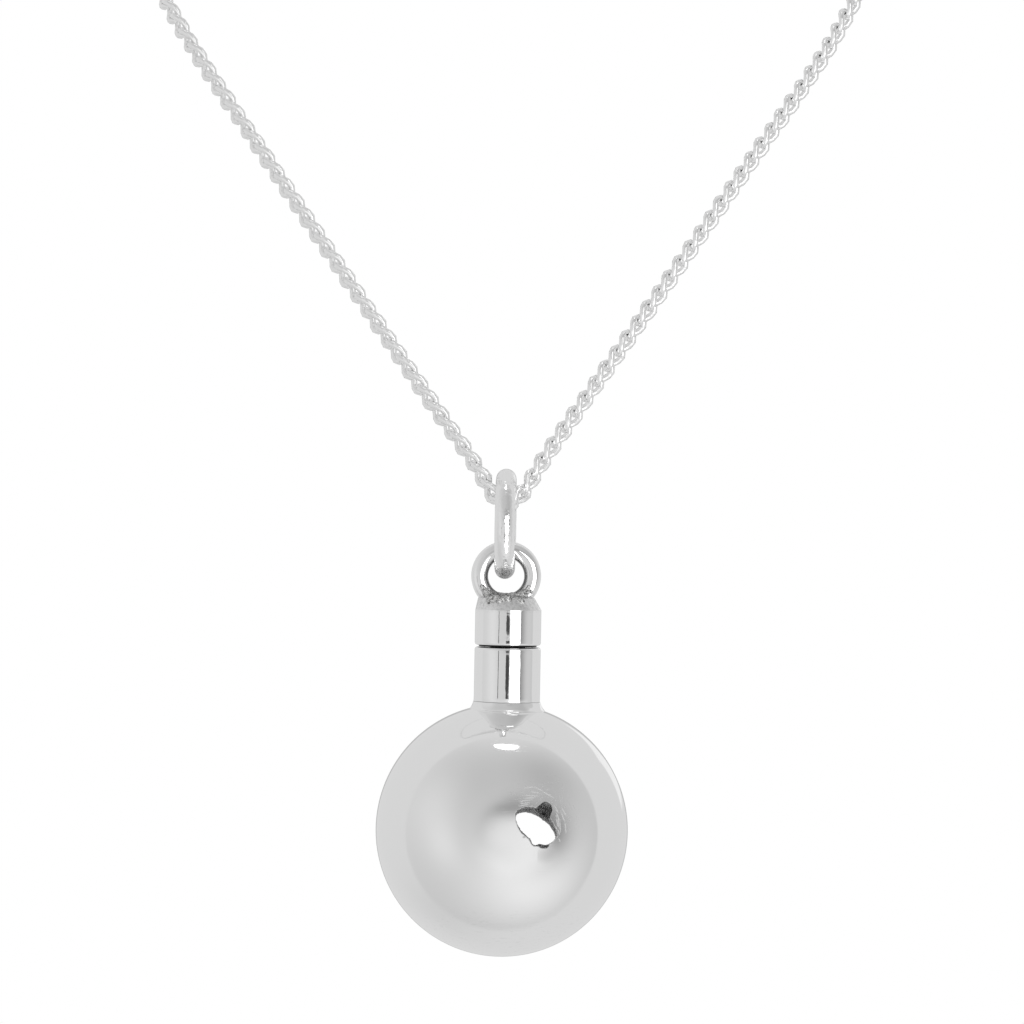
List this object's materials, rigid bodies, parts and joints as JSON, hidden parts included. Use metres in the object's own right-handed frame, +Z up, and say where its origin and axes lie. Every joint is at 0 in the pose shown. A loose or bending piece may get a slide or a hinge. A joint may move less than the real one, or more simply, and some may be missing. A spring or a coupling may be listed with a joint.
{
  "type": "perfume bottle pendant on a curb chain",
  "caption": "Round hollow silver perfume bottle pierced by an oval hole off its middle, with a short neck and a looped cap, hung by a round bail from a fine curb chain.",
  "frame": {"origin": "the nape, at the middle of the clasp ring, where the chain hangs", "axes": "+X to the right as the pendant is seen from the front, +Y from the front to the back, +Z up"},
  "size_m": [0.1174, 0.1294, 0.1608],
  "materials": {
    "bottle_silver": "polished silver with fine scratches, tarnished in the hole",
    "cap_silver": "polished silver, rough solder under the loop",
    "bail_silver": "polished silver wire",
    "chain_silver": "bright silver wire",
    "clasp_silver": "polished silver wire"
  },
  "bodies": {
    "necklace": {"chain": "chain_silver", "clasp": "clasp_silver"},
    "bail": {"bail": "bail_silver"},
    "cap": {"cap": "cap_silver"},
    "bottle": {"bottle": "bottle_silver"}
  },
  "joints": [
    {"name": "bail_swing", "type": "hinge", "parent": "necklace", "child": "bail", "pos_m": [0, -0.116, -0.112], "axis": [1, 0, 0], "range_deg": [-75, 75]},
    {"name": "pendant_swing", "type": "hinge", "parent": "bail", "child": "cap", "pos_m": [-0.00015, -0.116, -0.1191], "axis": [0, 1, 0], "range_deg": [-75, 75]},
    {"name": "bottle_off", "type": "slide", "parent": "cap", "child": "bottle", "axis": [0, 0, -1], "range_m": [0, 0.006]}
  ]
}
